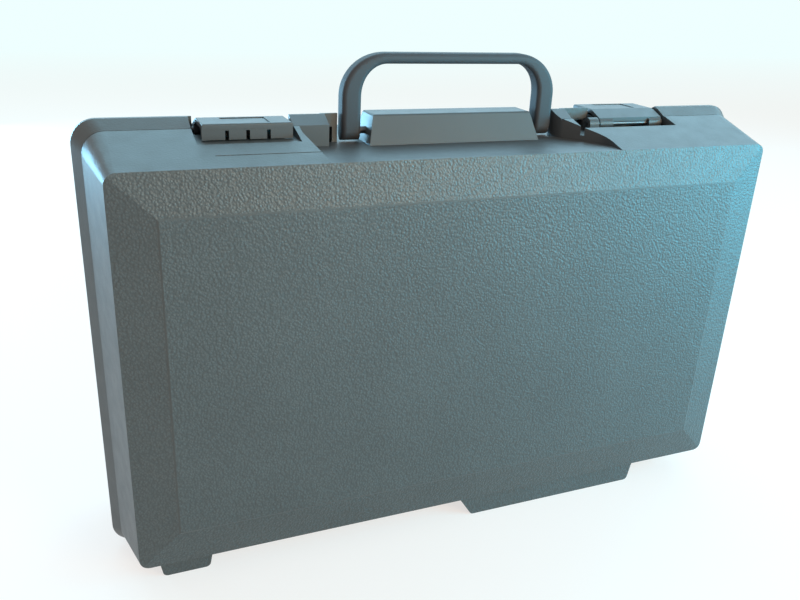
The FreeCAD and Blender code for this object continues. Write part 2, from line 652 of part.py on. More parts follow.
def build_handle():
    body = new_body("handle_bail")
    top = f"( {HANDLE_PIVOT_UP} + handle_reach )"
    under = f"( {top} - handle_bar )"
    inner = HANDLE_INNER
    sketch = new_sketch(body, "bail_outline", "XZ_Plane", "0 - handle_deep / 2")
    lines = [
        ((f"0 - {inner}", HANDLE_PIVOT_UP), ("0 - handle_half", HANDLE_PIVOT_UP)),
        (("0 - handle_half", HANDLE_PIVOT_UP), ("0 - handle_half", f"{top} - handle_outer_bend")),
        (("handle_outer_bend - handle_half", top), ("handle_half - handle_outer_bend", top)),
        (("handle_half", f"{top} - handle_outer_bend"), ("handle_half", HANDLE_PIVOT_UP)),
        (("handle_half", HANDLE_PIVOT_UP), (inner, HANDLE_PIVOT_UP)),
        ((inner, HANDLE_PIVOT_UP), (inner, f"{under} - handle_inner_bend")),
        ((f"{inner} - handle_inner_bend", under), (f"handle_inner_bend - {inner}", under)),
        ((f"0 - {inner}", f"{under} - handle_inner_bend"), (f"0 - {inner}", HANDLE_PIVOT_UP)),
    ]
    for ends in lines:
        start, finish = [FreeCAD.Vector(value(across), value(up), 0) for across, up in ends]
        sketch.addGeometry(Part.LineSegment(start, finish))
    # Each bend joins the end of one line to the start of the next. Outer bends run clockwise
    # along the outline, so they are met at their far end, and inner bends the other way.
    clockwise, anticlockwise = (2, 1), (1, 2)
    outer_up, inner_up = f"{top} - handle_outer_bend", f"{under} - handle_inner_bend"
    bends = [
        (1, clockwise, "handle_outer_bend - handle_half", outer_up, "handle_outer_bend", (90, 180)),
        (2, clockwise, "handle_half - handle_outer_bend", outer_up, "handle_outer_bend", (0, 90)),
        (5, anticlockwise, f"{inner} - handle_inner_bend", inner_up, "handle_inner_bend", (0, 90)),
        (6, anticlockwise, f"handle_inner_bend - {inner}", inner_up, "handle_inner_bend", (90, 180)),
    ]
    joined = set()
    for number, (line, (first, last), across, up, radius, turn) in enumerate(bends, start=len(lines)):
        ring = Part.Circle(FreeCAD.Vector(value(across), value(up), 0), ALONG_Z, value(radius))
        angles = [FreeCAD.Units.Quantity(f"{angle} deg").getValueAs("rad").Value for angle in turn]
        sketch.addGeometry(Part.ArcOfCircle(ring, *angles))
        sketch.addConstraint(Sketcher.Constraint("Tangent", line, 2, number, first))
        sketch.addConstraint(Sketcher.Constraint("Coincident", number, last, line + 1, 1))
        joined.add(line)
    for line, ends in enumerate(lines):
        pin_point(sketch, line, 1, *ends[0])
        if line in joined:
            pin_point(sketch, line, 2, *ends[1])
        else:
            sketch.addConstraint(Sketcher.Constraint("Coincident", line, 2, (line + 1) % len(lines), 1))
    bail = pad(body, "bail", sketch, "handle_deep")

    def on_the_faces(edge):
        flat = abs(abs(edge.CenterOfMass.y) - value("handle_deep / 2")) < value("parting_gap")
        low = edge.CenterOfMass.z < value(f"{HANDLE_PIVOT_UP} + parting_gap")
        return flat and not low

    chamfer_edges(body, "bail_edges", bail, "handle_chamfer", on_the_faces)
    eyes = []
    holes = []
    for side, low, high in (("left", "0 - handle_half", f"0 - {inner}"), ("right", inner, "handle_half")):
        eyes.append(round_bar(f"handle_eye_{side}", low, high, "0", HANDLE_PIVOT_UP, "handle_deep / 2"))
    # The holes are blind, so that each leg covers the end of its pin.
    for side, low, high in (("left", f"0 - {PIN_END} - pin_clearance", f"overrun - {inner}"),
                            ("right", f"{inner} - overrun", f"{PIN_END} + pin_clearance")):
        holes.append(round_bar(f"handle_hole_{side}", low, high,
                               "0", HANDLE_PIVOT_UP, "handle_pin_radius + pin_clearance"))
    return cut("handle", fuse("handle_blank", [body] + eyes), fuse("handle_holes", holes))


def build_handle_pins():
    right = round_bar("handle_pin_right", f"{BLOCK_HALF} - handle_pin_seat", PIN_END,
                      "0", HANDLE_PIVOT_UP, "handle_pin_radius")
    left = round_bar("handle_pin_left", f"0 - {PIN_END}", f"handle_pin_seat - {BLOCK_HALF}",
                     "0", HANDLE_PIVOT_UP, "handle_pin_radius")
    return [left, right]


def latch_finger(name, low, high):
    """A finger that hangs in front of the keeper, its faces struck about the pivot."""
    keeper_corner = ("sqrt ( ( latch_pivot_in + keeper_deep ) * ( latch_pivot_in + keeper_deep )"
                     " + ( latch_pivot_down - keeper_down ) * ( latch_pivot_down - keeper_down ) )")
    inner = f"{keeper_corner} + turn_clearance"
    outer = round_bar(name + "_outer", low, high, "latch_pivot_in", LATCH_PIVOT_UP,
                      f"{inner} + latch_finger_thick")
    hole = round_bar(name + "_inner", f"{low} - overrun", f"{high} + overrun",
                     "latch_pivot_in", LATCH_PIVOT_UP, inner)
    ring = cut(name + "_ring", outer, hole)
    limit = box(name + "_limit", f"{low} - overrun", f"{high} + overrun", "0 - latch_lip", "0",
                f"{LATCH_TOP} - latch_thick - latch_finger_down", f"{LATCH_TOP} - latch_thick / 2")
    finger = doc.addObject("Part::Common", name)
    finger.Base = ring
    finger.Tool = limit
    return finger


def build_latch(name, turned):
    """One latch, drawn as the left one, which swings on the back half."""
    pivot = ("latch_pivot_in", LATCH_PIVOT_UP)
    low = f"( 0 - {LATCH_OUTER} )"
    middle = "( 0 - latch_middle )"
    high = f"( 0 - {LATCH_INNER} )"
    body = new_body(name + "_body")
    back = "latch_pivot_in + latch_heel"
    points = [
        ("0 - latch_lip", f"{LATCH_TOP} - latch_thick"),
        ("0", f"{LATCH_TOP} - latch_thick"),
        (back, f"{LATCH_TOP} - latch_thick - latch_back_drop"),
        (back, f"{LATCH_TOP} - latch_back_drop"),
        ("0", LATCH_TOP),
        ("0 - latch_lip", LATCH_TOP),
    ]
    sketch = polygon(body, name + "_outline", "YZ_Plane", low, points)
    plate = pad(body, name + "_plate", sketch, "latch_width")

    def on_top(edge):
        middle = edge.CenterOfMass
        ridge = abs(middle.y) < value("parting_gap")
        return middle.z > value(f"{LATCH_TOP} - parting_gap") and not ridge

    round_edges(body, name + "_top_edges", plate, "latch_rounding", on_top)
    skirt_front = "0 - latch_lip + latch_skirt_in"
    skirt_foot = f"{CATCH_FLOOR} + latch_skirt_up"
    skirt = box(name + "_skirt", low, high, skirt_front, f"{skirt_front} + latch_skirt_thick",
                skirt_foot, f"{LATCH_TOP} - latch_thick / 2")
    pieces = [body, skirt]
    knuckle_half = "( latch_knuckle_width / 2 )"
    for number, place in enumerate((f"{low} + {knuckle_half}", f"{high} - {knuckle_half}"), start=1):
        start, end = f"{place} - {knuckle_half}", f"{place} + {knuckle_half}"
        pieces.append(round_bar(f"{name}_knuckle_{number}", start, end, *pivot, "latch_knuckle_radius"))
        pieces.append(box(f"{name}_web_{number}", start, end, "latch_pivot_in - latch_knuckle_radius",
                          back, LATCH_PIVOT_UP, f"{LATCH_TOP} - latch_back_drop - latch_web_down"))
    finger_half = "( latch_finger_width / 2 )"
    finger_step = "( keeper_length / 2 - latch_finger_width / 2 )"
    finger_middles = (f"{middle} - {finger_step}", middle, f"{middle} + {finger_step}")
    for number, place in enumerate(finger_middles, start=1):
        pieces.append(latch_finger(f"{name}_finger_{number}", f"{place} - {finger_half}",
                                   f"{place} + {finger_half}"))
    hole = round_bar(name + "_hole", f"{low} - overrun", f"{high} + overrun", *pivot,
                     "latch_pin_radius + pin_clearance")
    # A shallow plain dish on the plate, where a finger presses it shut.
    dish = box(name + "_dish", f"{middle} - latch_dish_length / 2", f"{middle} + latch_dish_length / 2",
               "0 - latch_dish_middle - latch_dish_width / 2", "latch_dish_width / 2 - latch_dish_middle",
               f"{LATCH_TOP} - latch_dish_depth", ABOVE_CASE)
    # Narrow slots part the front skirt into four.
    slots = []
    slot_middles = (f"{middle} - latch_slot_step", middle, f"{middle} + latch_slot_step")
    for number, place in enumerate(slot_middles, start=1):
        slots.append(box(f"{name}_slot_{number}", f"{place} - latch_slot_width / 2",
                         f"{place} + latch_slot_width / 2", f"{skirt_front} - overrun",
                         f"{skirt_front} + latch_skirt_thick + latch_skirt_in", f"{skirt_foot} - overrun",
                         f"{LATCH_TOP} - latch_thick - latch_slot_under"))
    latch = cut(name, fuse(name + "_blank", pieces), fuse(name + "_hollows", [hole, dish, *slots]))
    if turned:
        latch.Placement = FreeCAD.Placement(FreeCAD.Vector(), FreeCAD.Rotation(ALONG_Z, 180))
    return latch


def build_latch_pins():
    """The right latch turns on the front half and the left one on the back half."""
    end = f"( {POCKET_OUTER} + bearing_wall - wall / 2 )"
    right = round_bar("latch_pin_right", LUG_INNER, end, "0 - latch_pivot_in", LATCH_PIVOT_UP,
                      "latch_pin_radius")
    left = round_bar("latch_pin_left", f"0 - {end}", f"0 - {LUG_INNER}", "latch_pivot_in", LATCH_PIVOT_UP,
                     "latch_pin_radius")
    return [left, right]


def write_parts(solids):
    doc.recompute()
    for item in doc.Objects:
        if {"Invalid", "Error"} & set(item.State):
            raise RuntimeError(f"{item.Name} did not build: {item.State}")
    for solid in solids:
        if solid.Shape.isNull() or not solid.Shape.isValid():
            raise RuntimeError(f"{solid.Label} has no sound shape")
    os.makedirs("parts", exist_ok=True)
    for solid in solids:
        solid.Shape.exportStep(f"parts/{solid.Label}.step")
        print(solid.Label, len(solid.Shape.Solids), "solid", round(solid.Shape.Volume), "cubic mm")


solids = build_shells()
solids += build_hinge_rods()
solids.append(build_handle())
solids += build_handle_pins()
solids.append(build_latch("latch_left", turned=False))
solids.append(build_latch("latch_right", turned=True))
solids += build_latch_pins()
doc.removeObject(sheet_reader.Name)
write_parts(solids)
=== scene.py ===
import math
from contextlib import contextmanager
from typing import NamedTuple

import bmesh
import bpy
from bpy.props import FloatProperty, FloatVectorProperty, IntProperty, PointerProperty
from mathutils import Matrix, Vector


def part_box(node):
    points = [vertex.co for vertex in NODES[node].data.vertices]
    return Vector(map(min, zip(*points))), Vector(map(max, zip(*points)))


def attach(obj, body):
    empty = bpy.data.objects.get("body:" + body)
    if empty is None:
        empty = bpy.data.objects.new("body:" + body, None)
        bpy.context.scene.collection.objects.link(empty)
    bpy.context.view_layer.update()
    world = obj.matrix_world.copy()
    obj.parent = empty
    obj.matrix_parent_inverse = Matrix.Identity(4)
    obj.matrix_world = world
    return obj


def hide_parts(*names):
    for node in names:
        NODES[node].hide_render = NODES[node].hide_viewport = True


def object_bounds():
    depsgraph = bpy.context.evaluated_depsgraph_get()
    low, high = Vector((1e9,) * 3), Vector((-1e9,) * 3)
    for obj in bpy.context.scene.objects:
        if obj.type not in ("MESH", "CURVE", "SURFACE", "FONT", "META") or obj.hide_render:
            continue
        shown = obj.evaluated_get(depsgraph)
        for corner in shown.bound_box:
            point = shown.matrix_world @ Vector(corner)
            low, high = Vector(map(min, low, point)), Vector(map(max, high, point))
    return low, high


# Dresses the hard tool case: the mouldings with softened edges and a pebbled grain, the
# carrying handle swept along its path, the latches, the steel pins, and a plain studio.

bl_info = {
    "name": "Hard tool case",
    "version": (1, 0, 0),
    "blender": (4, 5, 0),
    "location": "View3D > Sidebar > Tool case",
    "description": "Mouldings, handle, latches and finishes of a hard tool case",
    "category": "Object",
}

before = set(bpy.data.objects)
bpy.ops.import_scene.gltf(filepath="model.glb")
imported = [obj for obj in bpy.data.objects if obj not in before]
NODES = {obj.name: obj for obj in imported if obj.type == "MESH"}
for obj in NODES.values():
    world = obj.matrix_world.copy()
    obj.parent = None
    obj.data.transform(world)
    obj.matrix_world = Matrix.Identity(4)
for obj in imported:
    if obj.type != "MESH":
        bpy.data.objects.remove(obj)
CAD_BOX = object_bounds()
MM = 0.001


# Sizes and colours that can be changed

class CaseFinish(bpy.types.PropertyGroup):
    """Colours and grain of the plastic and the steel."""

    case_colour: FloatVectorProperty(
        name="Case colour", description="Charcoal of the pebbled mouldings",
        subtype="COLOR", size=4, default=(0.050, 0.052, 0.051, 1.0), min=0.0, max=1.0)
    satin_colour: FloatVectorProperty(
        name="Satin colour", description="Charcoal of the latches, the block and its recess",
        subtype="COLOR", size=4, default=(0.052, 0.054, 0.055, 1.0), min=0.0, max=1.0)
    # The handle's colour is painted paler than the case's to stand in for the haze of light on it;
    # its plastic is not faded.
    handle_colour_with_painted_haze: FloatVectorProperty(
        name="Handle colour", description="Faded charcoal of the handle",
        subtype="COLOR", size=4, default=(0.150, 0.154, 0.154, 1.0), min=0.0, max=1.0)
    # The steel's colour is painted dark, as painted shade, to stand in for the shade that the pins
    # and rods lie in.
    steel_colour_with_painted_shade: FloatVectorProperty(
        name="Steel colour", description="Dark drawn steel of the pins and hinge rods",
        subtype="COLOR", size=4, default=(0.12, 0.12, 0.125, 1.0), min=0.0, max=1.0)
    pebble_size: FloatProperty(
        name="Pebble size", description="Width of one pebble of the coarse grain",
        subtype="DISTANCE", default=1.35 * MM, min=0.2 * MM, max=10 * MM)
    pebble_height: FloatProperty(
        name="Pebble height", description="How far the coarse grain stands up",
        subtype="DISTANCE", default=0.26 * MM, min=0.0, max=2 * MM)
    fine_grain_size: FloatProperty(
        name="Fine grain size", description="Width of the fine grain on the side walls",
        subtype="DISTANCE", default=1.0 * MM, min=0.1 * MM, max=5 * MM)
    fine_grain_height: FloatProperty(
        name="Fine grain height", description="How far the fine grain stands up",
        subtype="DISTANCE", default=0.10 * MM, min=0.0, max=1 * MM)
    case_roughness: FloatProperty(
        name="Case roughness", description="Roughness of the pebbled plastic",
        subtype="FACTOR", default=0.46, min=0.0, max=1.0)
    satin_roughness: FloatProperty(
        name="Satin roughness", description="Roughness of the smooth plastic",
        subtype="FACTOR", default=0.47, min=0.0, max=1.0)


class CaseEdges(bpy.types.PropertyGroup):
    """How the moulded edges are softened."""

    edge_width: FloatProperty(
        name="Edge width", description="Width of the rounding on the shells' edges",
        subtype="DISTANCE", default=0.45 * MM, min=0.0, max=2 * MM)
    latch_edge_width: FloatProperty(
        name="Latch edge width", description="Width of the rounding on the latches' edges",
        subtype="DISTANCE", default=0.3 * MM, min=0.0, max=1 * MM)
    panel_step_width: FloatProperty(
        name="Panel step width", description="Width of the slope round the raised panel",
        subtype="DISTANCE", default=1.3 * MM, min=0.0, max=5 * MM)
    panel_step_height: FloatProperty(
        name="Panel step height", description="Height of the slope round the raised panel",
        subtype="DISTANCE", default=0.5 * MM, min=0.0, max=2 * MM)
    edge_steps: IntProperty(
        name="Edge steps", description="Faces across one rounded edge",
        default=2, min=1, max=6)
    sharp_angle: FloatProperty(
        name="Sharp angle", description="Edges that turn more than this are rounded",
        subtype="ANGLE", default=math.radians(24), min=0.0, max=math.pi)


class CaseHandle(bpy.types.PropertyGroup):
    """Section of the carrying handle; its reach comes from the handle's part in model.glb."""

    leg_width: FloatProperty(
        name="Leg width", description="Width of each leg along the case",
        subtype="DISTANCE", default=11.3 * MM, min=2 * MM, max=30 * MM)
    bar_thickness: FloatProperty(
        name="Bar thickness", description="Thickness of the bar between the legs",
        subtype="DISTANCE", default=6.0 * MM, min=1 * MM, max=30 * MM)
    bend: FloatProperty(
        name="Bend", description="Radius of the bends at the middle of the section",
        subtype="DISTANCE", default=21.0 * MM, min=1 * MM, max=60 * MM)
    rounding: FloatProperty(
        name="Rounding", description="Radius of the section's corners",
        subtype="DISTANCE", default=2.7 * MM, min=0.1 * MM, max=2.9 * MM)


class CaseStudio(bpy.types.PropertyGroup):
    """Floor, surroundings and camera."""

    floor_colour: FloatVectorProperty(
        name="Floor colour", description="Pale floor under the case",
        subtype="COLOR", size=4, default=(0.97, 0.91, 0.86, 1.0), min=0.0, max=1.0)
    near_colour: FloatVectorProperty(
        name="Near colour", description="Warmer white of the floor round the case",
        subtype="COLOR", size=4, default=(1.0, 0.97, 0.95, 1.0), min=0.0, max=1.0)
    far_colour: FloatVectorProperty(
        name="Far colour", description="Cooler white of the floor far behind the case",
        subtype="COLOR", size=4, default=(0.86, 1.0, 1.0, 1.0), min=0.0, max=1.0)
    floor_glow: FloatProperty(
        name="Floor glow", description="Share of plain white that the floor shows to the camera",
        subtype="FACTOR", default=0.70, min=0.0, max=1.0)
    sky_colour: FloatVectorProperty(
        name="Sky colour", description="Pale surroundings",
        subtype="COLOR", size=4, default=(0.97, 0.98, 0.97, 1.0), min=0.0, max=1.0)
    sky_strength: FloatProperty(
        name="Sky strength", description="Light from the surroundings",
        default=0.55, min=0.0, max=5.0)
    lens: FloatProperty(
        name="Lens", description="Focal length of the camera in millimetres",
        subtype="DISTANCE_CAMERA", default=36.16, min=10.0, max=200.0)
    eye: FloatVectorProperty(
        name="Eye", description="Place of the camera",
        subtype="TRANSLATION", size=3, default=(-0.21385, -0.43808, 0.33787))
    yaw: FloatProperty(
        name="Yaw", description="Turn of the camera to the right of straight ahead",
        subtype="ANGLE", default=0.405)
    pitch: FloatProperty(
        name="Pitch", description="Tilt of the camera below the horizon",
        subtype="ANGLE", default=0.388)
    roll: FloatProperty(
        name="Roll", description="Lean of the camera about its own view",
        subtype="ANGLE", default=0.048)


# Node trees

class Wiring:
    """Adds nodes to one tree and feeds their inputs."""

    def __init__(self, tree):
        self.tree = tree

    def feed(self, node, inputs):
        """Links a node's inputs to other sockets, or gives them plain values."""
        for socket, value in dict(inputs).items():
            if isinstance(value, bpy.types.NodeSocket):
                self.tree.links.new(value, node.inputs[socket])
            else:
                node.inputs[socket].default_value = value

    def add(self, kind, inputs=(), **settings):
        """A node with its settings, and with inputs fed by their name or number."""
        node = self.tree.nodes.new(kind)
        for name, value in settings.items():
            setattr(node, name, value)
        self.feed(node, inputs)
        return node

    def maths(self, operation, *inputs):
        """The result of an operation on numbers or sockets."""
        return self.add("ShaderNodeMath", enumerate(inputs), operation=operation).outputs[0]

    def vectors(self, operation, *inputs, **named):
        """The result of an operation on vectors. Inputs that aren't vectors come by name."""
        sockets = {**dict(enumerate(inputs)), **named}
        node = self.add("ShaderNodeVectorMath", sockets, operation=operation)
        return node.outputs["Value" if operation == "DOT_PRODUCT" else "Vector"]

    def apart(self, vector):
        """The X, Y and Z of a vector."""
        return self.add("ShaderNodeSeparateXYZ", {"Vector": vector}).outputs

    def together(self, **parts):
        """A vector from its X, Y and Z."""
        return self.add("ShaderNodeCombineXYZ", parts).outputs["Vector"]


# Grain and colour

# Slow drift of the colour over a moulding
DRIFT_SIZE = 60 * MM
DRIFT_FROM = 0.35
DRIFT_TO = 0.65
DRIFT_SHARE = 0.05
# Patches of more and less gloss
PATCH_SIZE = 9 * MM
PATCH_SPREAD = 0.16
# How squarely a face looks outwards where the coarse grain sets in, and where it is full
OUTWARD_FROM = 0.90
OUTWARD_TO = 0.95
# How round the pebbles are, and how much noise makes them uneven
PEBBLE_SMOOTHNESS = 0.6
PEBBLE_WOBBLE = 0.6
# The heights, lifted above nothing, over which the pebbles go from painted shade in their hollows
# to a painted highlight on their tops
PAINTED_PEBBLE_LIGHT_LIFT = 0.6
PAINTED_PEBBLE_LIGHT_FROM = 0.30
PAINTED_PEBBLE_LIGHT_TO = 0.75
PAINTED_PEBBLE_LIGHT_SHARE = 0.15
WHITE = (1.0, 1.0, 1.0)
# How much of the fine grain's height the satin finish keeps
SATIN_GRAIN_SHARE = 0.5
# Streaks of the drawn steel
STREAK_WIDTH = 0.4 * MM
STREAK_HEIGHT = 0.02 * MM
STREAK_STRETCH = 0.04
STREAK_FROM = 0.3
STREAK_TO = 0.7
STREAK_DARK = 0.8
STREAK_PALE = 1.1
STEEL_ROUGHNESS = 0.35
STEEL_ROUGHNESS_SPREAD = 0.2


def noise(wiring, place, size, detail, roughness=0.5):
    """Noise whose features are about size metres across."""
    look = {"Vector": place, "Scale": 1 / size, "Detail": detail, "Roughness": roughness}
    return wiring.add("ShaderNodeTexNoise", look).outputs["Fac"]


def pebbles(wiring, place, size):
    """Rounded cells, low in their middles, as in a coarse moulded grain."""
    cells = {"Vector": place, "Scale": 1 / size, "Smoothness": PEBBLE_SMOOTHNESS}
    return wiring.add("ShaderNodeTexVoronoi", cells, feature="SMOOTH_F1").outputs["Distance"]


def span(wiring, value, start, end):
    """Nothing below the start, one above the end, and an even rise in between."""
    rise = {"Value": value, "From Min": start, "From Max": end}
    return wiring.add("ShaderNodeMapRange", rise).outputs["Result"]


def ramp(wiring, value, start, end):
    """A colour that runs from one (place, colour) to another."""
    node = wiring.add("ShaderNodeValToRGB", {"Fac": value})
    first, last = node.color_ramp.elements
    first.position, first.color = start
    last.position, last.color = end
    return node.outputs["Color"]


def tinted(colour, share):
    """The colour, lighter or darker by a share."""
    return (*[channel * share for channel in colour[:3]], 1.0)


def bump(wiring, height, distance, under=None):
    """A normal raised by a height, on top of the normal under it if there is one."""
    node = wiring.add("ShaderNodeBump", {"Height": height, "Distance": distance})
    if under is not None:
        wiring.feed(node, {"Normal": under})
    return node.outputs["Normal"]


def drifting_colour(wiring, place, colour):
    """Slow changes of a moulding's colour."""
    drift = noise(wiring, place, DRIFT_SIZE, detail=3)
    return ramp(wiring, drift, (DRIFT_FROM, tinted(colour, 1 - DRIFT_SHARE)),
                (DRIFT_TO, tinted(colour, 1 + DRIFT_SHARE)))


def patchy_roughness(wiring, place, roughness):
    """Small changes of a moulding's gloss."""
    patches = noise(wiring, place, PATCH_SIZE, detail=4)
    return wiring.maths("MULTIPLY_ADD", patches, PATCH_SPREAD, roughness - PATCH_SPREAD / 2)


# Materials

def new_material(name):
    """A material, the wiring of its nodes, and its shader."""
    material = bpy.data.materials.new(name)
    material.use_nodes = True
    tree = material.node_tree
    return material, Wiring(tree), tree.nodes["Principled BSDF"]


def pebbled_plastic(finish):
    """Coarse pebble grain on the faces that look out, fine grain on the walls and inside."""
    material, wiring, shader = new_material("pebbled_plastic")
    coordinates = wiring.add("ShaderNodeTexCoord").outputs
    place = coordinates["Object"]
    side = wiring.maths("SIGN", wiring.apart(place)["Y"])
    facing = wiring.maths("MULTIPLY", wiring.apart(coordinates["Normal"])["Y"], side)
    outward = span(wiring, facing, OUTWARD_FROM, OUTWARD_TO)
    wobble = noise(wiring, place, finish.pebble_size, detail=3, roughness=0.6)
    cells = pebbles(wiring, place, finish.pebble_size)
    heights = wiring.maths("SUBTRACT", wiring.maths("MULTIPLY", wobble, PEBBLE_WOBBLE), cells)
    coarse = wiring.maths("MULTIPLY", heights, outward)
    # The tops of the pebbles are painted a little paler and their hollows a little darker: a
    # painted highlight and painted shade on the grain.
    painted_pebble_light = ramp(wiring, wiring.maths("ADD", coarse, PAINTED_PEBBLE_LIGHT_LIFT),
                (PAINTED_PEBBLE_LIGHT_FROM, tinted(WHITE, 1 - PAINTED_PEBBLE_LIGHT_SHARE)),
                (PAINTED_PEBBLE_LIGHT_TO, tinted(WHITE, 1 + PAINTED_PEBBLE_LIGHT_SHARE)))
    colour = drifting_colour(wiring, place, finish.case_colour)
    fine = noise(wiring, place, finish.fine_grain_size, detail=2)
    grained = bump(wiring, fine, finish.fine_grain_height)
    wiring.feed(shader, {
        "Base Color": wiring.vectors("MULTIPLY", colour, painted_pebble_light),
        "Roughness": patchy_roughness(wiring, place, finish.case_roughness),
        "Normal": bump(wiring, coarse, finish.pebble_height, under=grained)})
    return material


def smooth_plastic(name, colour, finish):
    """Plastic with a satin gloss and only a faint grain."""
    material, wiring, shader = new_material(name)
    place = wiring.add("ShaderNodeTexCoord").outputs["Object"]
    grain = noise(wiring, place, finish.fine_grain_size, detail=3)
    wiring.feed(shader, {
        "Base Color": drifting_colour(wiring, place, colour),
        "Roughness": patchy_roughness(wiring, place, finish.satin_roughness),
        "Normal": bump(wiring, grain, finish.fine_grain_height * SATIN_GRAIN_SHARE)})
    return material


def satin_plastic(finish):
    """The finish of the latches, the recess and the block."""
    return smooth_plastic("satin_plastic", finish.satin_colour, finish)


def handle_plastic(finish):
    """The handle's plastic, painted paler than the case to stand in for the haze of light on it."""
    return smooth_plastic("handle_plastic", finish.handle_colour_with_painted_haze, finish)


def drawn_steel(finish):
    """Steel wire, painted dark as painted shade, streaked along the case as it was drawn."""
    material, wiring, shader = new_material("drawn_steel")
    place = wiring.add("ShaderNodeTexCoord").outputs["Object"]
    along = wiring.add("ShaderNodeMapping", {"Vector": place, "Scale": (STREAK_STRETCH, 1, 1)})
    streaks = noise(wiring, along.outputs["Vector"], STREAK_WIDTH, detail=3)
    wiring.feed(shader, {
        "Base Color": ramp(wiring, streaks,
                           (STREAK_FROM, tinted(finish.steel_colour_with_painted_shade, STREAK_DARK)),
                           (STREAK_TO, tinted(finish.steel_colour_with_painted_shade, STREAK_PALE))),
        "Metallic": 1.0,
        "Roughness": wiring.maths("MULTIPLY_ADD", streaks, STEEL_ROUGHNESS_SPREAD, STEEL_ROUGHNESS),
        "Normal": bump(wiring, streaks, STREAK_HEIGHT)})
    return material


FINISHES = {"pebbled_plastic": pebbled_plastic, "satin_plastic": satin_plastic,
            "handle_plastic": handle_plastic, "drawn_steel": drawn_steel}


def material_for(name):
    """The finish of that name, made when it is first asked for."""
    return bpy.data.materials.get(name) or FINISHES[name](bpy.context.scene.case_finish)


# Meshes

# Points closer than this are one point, and faces that turn less than this are one flat
SAME_POINT = 0.002 * MM
SAME_FLAT = math.radians(0.4)
# Flats larger than this keep even their shallow creases
LARGE_SHELL_FLAT = 20 * MM * MM
LARGE_LATCH_FLAT = 4 * MM * MM
SHALLOW_CREASE = math.radians(5)
# Shading breaks at edges that turn more than this
MOULDING_CREASE = math.radians(40)
HANDLE_CREASE = math.radians(50)


@contextmanager
def opened(mesh):
    """The mesh's form, written back when the changes are done."""
    form = bmesh.new()
    form.from_mesh(mesh)
    yield form
    form.to_mesh(mesh)
    form.free()


def new_object(name, data):
    """A mesh, lamp or camera as an object of the scene."""
    made = bpy.data.objects.new(name, data)
    bpy.context.scene.collection.objects.link(made)
    return made


def settle(piece):
    """Applies the modifiers, so that the piece is a plain mesh."""
    seen = piece.evaluated_get(bpy.context.evaluated_depsgraph_get())
    mesh = bpy.data.meshes.new_from_object(seen)
    piece.modifiers.clear()
    piece.data = mesh


def creases(form, large_flat):
    """Every edge between two faces, the angle it turns, and whether both faces are large."""
    areas = {face: face.calc_area() for face in form.faces}
    for edge in form.edges:
        if len(edge.link_faces) == 2:
            smaller = min(areas[face] for face in edge.link_faces)
            yield edge, edge.calc_face_angle(0.0), smaller > large_flat


def shade(piece, crease, large_flat=math.inf):
    """Smooth shading, broken at creases and between large flats."""
    with opened(piece.data) as form:
        for face in form.faces:
            face.smooth = True
        for edge, angle, between_large in creases(form, large_flat):
            edge.smooth = not (angle > crease or between_large)
    flats = piece.modifiers.new("flats_stay_flat", "WEIGHTED_NORMAL")
    flats.keep_sharp = True
    settle(piece)


# Mouldings: copies of the solids with softened edges

# How far the smooth recess reaches below the handle, and past it to either side
RECESS_BELOW = 3 * MM
RECESS_BESIDE = 30 * MM


def merged_copy(node, name):
    """A copy of a node whose loose triangles are joined and whose flats are single faces."""
    mesh = NODES[node].data.copy()
    mesh.name = name
    mesh.materials.clear()
    with opened(mesh) as form:
        bmesh.ops.remove_doubles(form, verts=form.verts, dist=SAME_POINT)
        bmesh.ops.dissolve_degenerate(form, edges=form.edges, dist=SAME_POINT)
        bmesh.ops.dissolve_limit(form, angle_limit=SAME_FLAT, verts=form.verts, edges=form.edges)
    if "custom_normal" in mesh.attributes:
        mesh.attributes.remove(mesh.attributes["custom_normal"])
    return new_object(name, mesh)


def step_round_the_panel(piece, width, depth):
    """Lets the largest flat of a moulding stand up by a small step from the bevels round it."""
    with opened(piece.data) as form:
        panel = max(form.faces, key=lambda face: face.calc_area())
        out = panel.normal.copy()
        bmesh.ops.inset_individual(form, faces=[panel], thickness=width, depth=0.0)
        slopes = {face for edge in panel.edges for face in edge.link_faces}
        outer = {vertex for face in slopes for vertex in face.verts} - set(panel.verts)
        for vertex in outer:
            vertex.co -= out * depth


def soften(piece, width, large_flat):
    """Rounds the sharp edges, and the shallow creases between large flats."""
    edges = bpy.context.scene.case_edges
    with opened(piece.data) as form:
        weight = form.edges.layers.float.new("bevel_weight_edge")
        for edge, angle, between_large in creases(form, large_flat):
            shallow = between_large and angle > SHALLOW_CREASE
            edge[weight] = float(shallow or angle > edges.sharp_angle)
    bevel = piece.modifiers.new("softened", "BEVEL")
    bevel.width = width
    bevel.segments = edges.edge_steps
    bevel.limit_method = "WEIGHT"
    bevel.use_clamp_overlap = True
    bevel.miter_outer = "MITER_ARC"
    settle(piece)
    shade(piece, MOULDING_CREASE, large_flat)


def smooth_finish_in_the_recess(piece):
    """Gives the floor, sides and block of the handle's recess the second material."""
    low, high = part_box("handle")
    lowest = low.z - RECESS_BELOW
    half = high.x + RECESS_BESIDE
    for face in piece.data.polygons:
        inside = face.center.z > lowest and abs(face.center.x) < half
        face.material_index = 1 if inside else 0


def moulded_half(node, body, name):
    """One half of the case, its panel raised and its edges softened."""
    edges = bpy.context.scene.case_edges
    piece = merged_copy(node, name)
    step_round_the_panel(piece, edges.panel_step_width, edges.panel_step_height)
    soften(piece, edges.edge_width, LARGE_SHELL_FLAT)
    piece.data.materials.append(material_for("pebbled_plastic"))
    piece.data.materials.append(material_for("satin_plastic"))
    smooth_finish_in_the_recess(piece)
    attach(piece, body)
    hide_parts(node)


